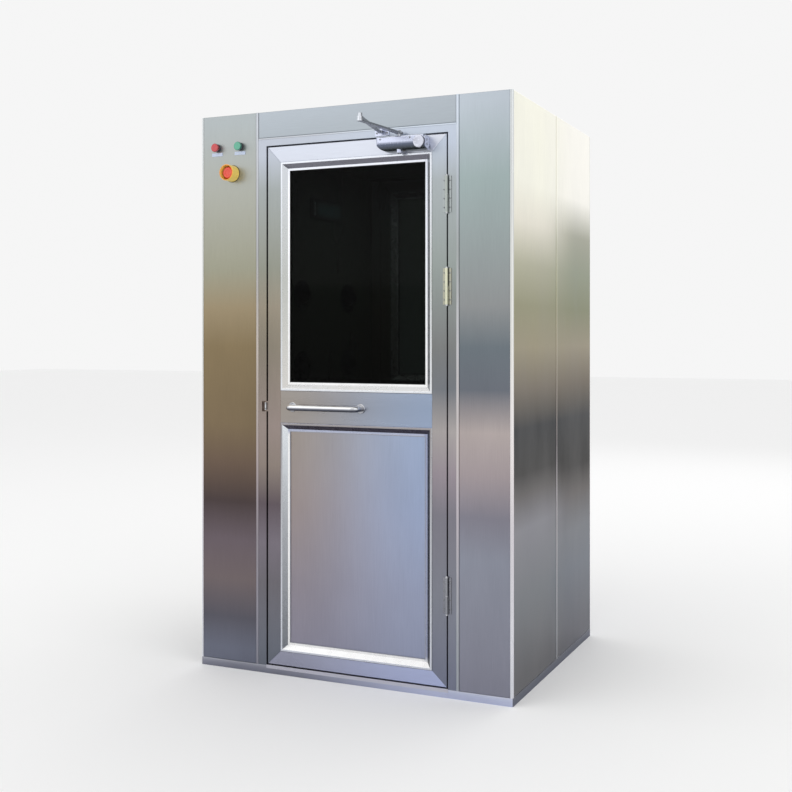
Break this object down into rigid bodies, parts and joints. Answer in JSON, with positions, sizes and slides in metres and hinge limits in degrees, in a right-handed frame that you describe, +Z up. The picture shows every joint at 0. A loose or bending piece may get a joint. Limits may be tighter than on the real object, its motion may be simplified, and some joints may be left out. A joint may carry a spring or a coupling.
{
  "type": "cleanroom air shower",
  "caption": "Stainless walk-through air shower cabin with a glazed self-closing door at each end, ball nozzles on both inner walls, status lamps and an emergency stop.",
  "frame": {"origin": "middle of the cabin's underside, on the ground", "axes": "+Z up, -Y out of the front door, +X to the right when facing the front door"},
  "size_m": [1.303, 1.602, 2.15],
  "materials": {
    "base_plinth": "brushed",
    "floor_plate": "brushed",
    "roof_panel": "brushed",
    "ceiling_panel": "brushed",
    "left_inner_wall": "brushed",
    "right_inner_wall": "brushed",
    "left_side_panels": "brushed",
    "right_side_panels": "brushed",
    "corner_strips": "brushed",
    "side_seams": "brushed",
    "front_panels": "brushed",
    "back_panels": "brushed",
    "header_panels": "brushed",
    "wall_seams": "brushed",
    "front_jamb": "brushed",
    "back_jamb": "brushed",
    "door_sills": "brushed",
    "strike_keepers": "brushed",
    "closer_shoes": "brushed",
    "hinge_bases": "brushed",
    "left_nozzles": "polished",
    "right_nozzles": "polished",
    "wall_display": "smooth",
    "lamp_bezels": "polished",
    "red_lamp_lens": "smooth",
    "green_lamp_lens": "smooth",
    "label_plates": "satin",
    "stop_shroud": "smooth",
    "front_door_stiles": "brushed",
    "front_door_rails": "brushed",
    "front_door_bevels": "satin",
    "front_door_glass": "tinted",
    "front_door_panel": "brushed",
    "front_door_handle": "polished",
    "front_door_hinges": "satin",
    "front_closer_body": "satin",
    "front_closer_arm": "satin",
    "front_closer_forearm": "satin",
    "back_door_stiles": "brushed",
    "back_door_rails": "brushed",
    "back_door_bevels": "satin",
    "back_door_glass": "tinted",
    "back_door_panel": "brushed",
    "back_door_handle": "polished",
    "back_door_hinges": "satin",
    "back_closer_body": "satin",
    "back_closer_arm": "satin",
    "back_closer_forearm": "satin",
    "stop_button": "smooth"
  },
  "bodies": {
    "cabin": {"base_plinth": "base_plinth", "floor_plate": "floor_plate", "roof_panel": "roof_panel", "ceiling_panel": "ceiling_panel", "left_inner_wall": "left_inner_wall", "right_inner_wall": "right_inner_wall", "left_side_panels": "left_side_panels", "right_side_panels": "right_side_panels", "corner_strips": "corner_strips", "side_seams": "side_seams", "front_panels": "front_panels", "back_panels": "back_panels", "header_panels": "header_panels", "wall_seams": "wall_seams", "front_jamb": "front_jamb", "back_jamb": "back_jamb", "door_sills": "door_sills", "strike_keepers": "strike_keepers", "closer_shoes": "closer_shoes", "hinge_bases": "hinge_bases", "left_nozzles": "left_nozzles", "right_nozzles": "right_nozzles", "wall_display": "wall_display", "lamp_bezels": "lamp_bezels", "red_lamp_lens": "red_lamp_lens", "green_lamp_lens": "green_lamp_lens", "label_plates": "label_plates", "stop_shroud": "stop_shroud"},
    "front_door": {"front_door_stiles": "front_door_stiles", "front_door_rails": "front_door_rails", "front_door_bevels": "front_door_bevels", "front_door_glass": "front_door_glass", "front_door_panel": "front_door_panel", "front_door_handle": "front_door_handle", "front_door_hinges": "front_door_hinges", "front_closer_body": "front_closer_body"},
    "front_main_arm": {"front_closer_arm": "front_closer_arm"},
    "front_forearm": {"front_closer_forearm": "front_closer_forearm"},
    "back_door": {"back_door_stiles": "back_door_stiles", "back_door_rails": "back_door_rails", "back_door_bevels": "back_door_bevels", "back_door_glass": "back_door_glass", "back_door_panel": "back_door_panel", "back_door_handle": "back_door_handle", "back_door_hinges": "back_door_hinges", "back_closer_body": "back_closer_body"},
    "back_main_arm": {"back_closer_arm": "back_closer_arm"},
    "back_forearm": {"back_closer_forearm": "back_closer_forearm"},
    "stop_head": {"stop_button": "stop_button"}
  },
  "joints": [
    {"name": "front_door_swing", "type": "hinge", "parent": "cabin", "child": "front_door", "pos_m": [0.4025, -0.507, 1.082], "axis": [0, 0, 1], "range_deg": [0, 90], "stiffness_Nm_per_rad": 12, "springref_deg": -5.73},
    {"name": "front_pinion_turn", "type": "hinge", "parent": "front_door", "child": "front_main_arm", "pos_m": [0.225, -0.525, 2.023], "axis": [0, 0, 1], "range_deg": [-152.1, 1]},
    {"name": "front_shoe_turn", "type": "hinge", "parent": "cabin", "child": "front_forearm", "pos_m": [0.145, -0.52, 2.034], "axis": [0, 0, 1], "range_deg": [-6.4, 1]},
    {"name": "back_door_swing", "type": "hinge", "parent": "cabin", "child": "back_door", "pos_m": [-0.347, 0.507, 1.082], "axis": [0, 0, 1], "range_deg": [0, 90], "stiffness_Nm_per_rad": 12, "springref_deg": -5.73},
    {"name": "back_pinion_turn", "type": "hinge", "parent": "back_door", "child": "back_main_arm", "pos_m": [-0.1695, 0.525, 2.023], "axis": [0, 0, 1], "range_deg": [-152.1, 1]},
    {"name": "back_shoe_turn", "type": "hinge", "parent": "cabin", "child": "back_forearm", "pos_m": [-0.0895, 0.52, 2.034], "axis": [0, 0, 1], "range_deg": [-6.4, 1]},
    {"name": "stop_press", "type": "slide", "parent": "cabin", "child": "stop_head", "axis": [0, 1, 0], "range_m": [0, 0.006], "stiffness_N_per_m": 1500}
  ],
  "couplings": [
    {"joint": "front_pinion_turn", "follows": "front_door_swing", "ratio": -1.6785},
    {"joint": "front_shoe_turn", "follows": "front_door_swing", "ratio": -0.05978},
    {"joint": "back_pinion_turn", "follows": "back_door_swing", "ratio": -1.6785},
    {"joint": "back_shoe_turn", "follows": "back_door_swing", "ratio": -0.05978}
  ]
}
